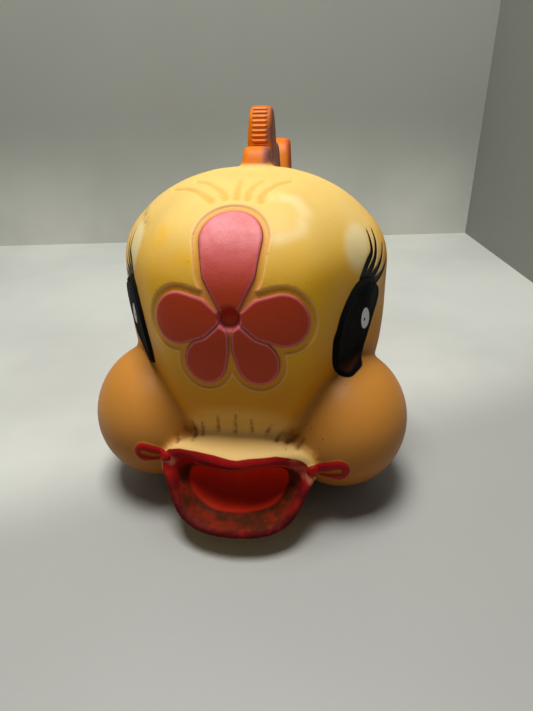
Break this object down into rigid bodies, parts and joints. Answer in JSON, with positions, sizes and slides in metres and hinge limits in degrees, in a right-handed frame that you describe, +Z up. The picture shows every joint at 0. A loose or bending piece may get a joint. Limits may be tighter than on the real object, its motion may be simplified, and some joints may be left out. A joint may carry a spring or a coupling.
{
  "type": "rubber bath toy fish",
  "caption": "Hollow moulded bath toy fish with a blocky head, puffed cheeks, open pouting mouth, raised eyes, five-petal flower relief, two-lobed back fin and fan tail.",
  "frame": {"origin": "middle of the belly flat that the toy stands on, below the eyes", "axes": "+Y from the face towards the tail, +Z up, +X towards the toy's left side"},
  "size_m": [0.0998, 0.1529, 0.1126],
  "materials": {
    "rubber": "soft vinyl, yellow sprayed over orange, with pink, red and black paint, lightly worn"
  },
  "bodies": {
    "root": {"fish": "rubber"}
  },
  "joints": []
}
